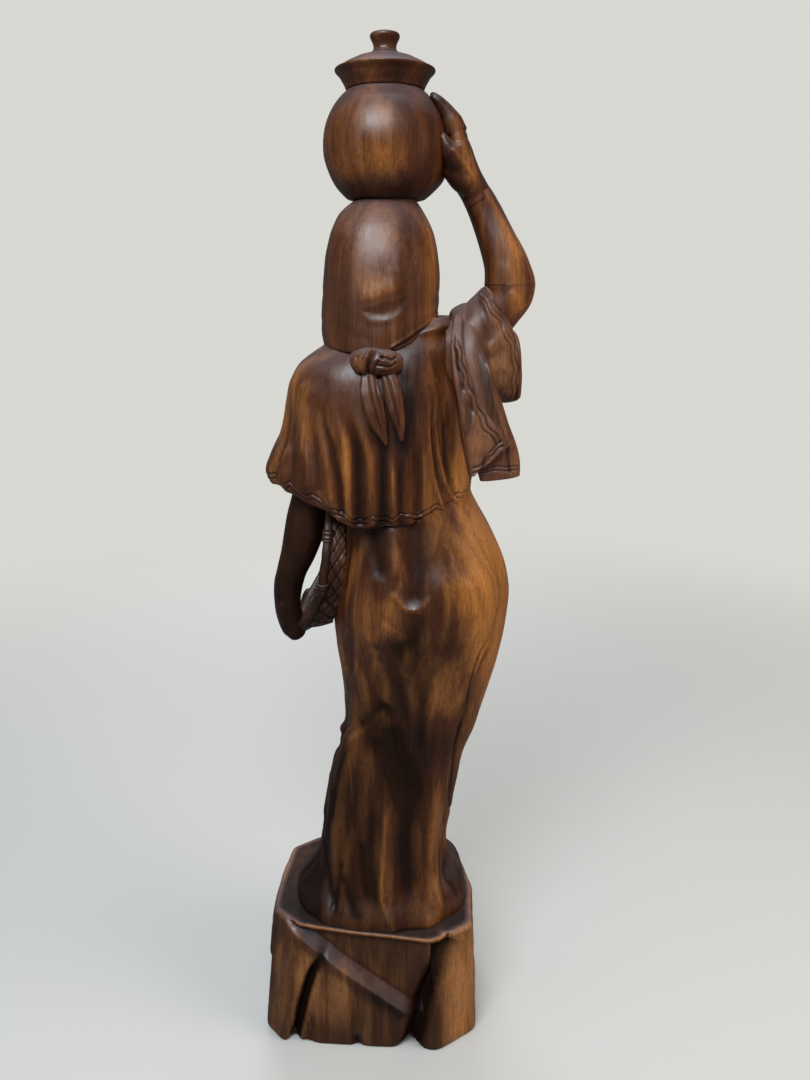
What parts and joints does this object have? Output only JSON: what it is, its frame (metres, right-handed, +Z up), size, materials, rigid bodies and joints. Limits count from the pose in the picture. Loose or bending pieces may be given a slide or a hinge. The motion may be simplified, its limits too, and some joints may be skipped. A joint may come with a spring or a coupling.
{
  "type": "carved wooden standing figure with water pot",
  "caption": "Standing carved wooden figure of a woman steadying a lidded water pot on her head and holding a woven tray at her hip, on a carved rock base.",
  "frame": {"origin": "on the floor, at the middle of the flat underside of the rock base", "axes": "+Z up, the figure faces -Y, her left side (lowered arm and tray) is +X, her right side (raised arm) is -X"},
  "size_m": [0.2715, 0.1877, 0.984],
  "materials": {
    "rock_wood": "satin varnish",
    "cloth_wood": "gloss varnish",
    "shawl_wood": "gloss varnish",
    "scarf_wood": "gloss varnish",
    "skin_wood": "gloss varnish",
    "tray_wood": "satin varnish",
    "pot_wood": "gloss varnish",
    "dowel_wood": "raw"
  },
  "bodies": {
    "figure": {"rock_base": "rock_wood", "skirt": "cloth_wood", "left_foot": "skin_wood", "right_foot": "skin_wood", "blouse": "cloth_wood", "right_sleeve": "cloth_wood", "shawl": "shawl_wood", "shawl_fold": "shawl_wood", "head": "skin_wood", "headscarf": "scarf_wood", "scarf_knot": "scarf_wood", "scarf_tail_left": "scarf_wood", "scarf_tail_right": "scarf_wood", "right_upper_arm": "skin_wood", "right_forearm": "skin_wood", "elbow_dowel": "dowel_wood", "right_hand": "skin_wood", "left_upper_arm": "skin_wood", "left_forearm": "skin_wood", "left_hand": "skin_wood", "tray_basket": "tray_wood", "tray_rim": "tray_wood", "rim_tie_upper": "tray_wood", "rim_tie_lower": "tray_wood", "pot_body": "pot_wood", "pot_collar": "pot_wood", "pot_peg": "dowel_wood"},
    "lid": {"pot_lid": "pot_wood", "lid_knob": "pot_wood"}
  },
  "joints": [
    {"name": "lid_lift", "type": "slide", "parent": "figure", "child": "lid", "axis": [0, 0, 1], "range_m": [0, 0.08]}
  ]
}
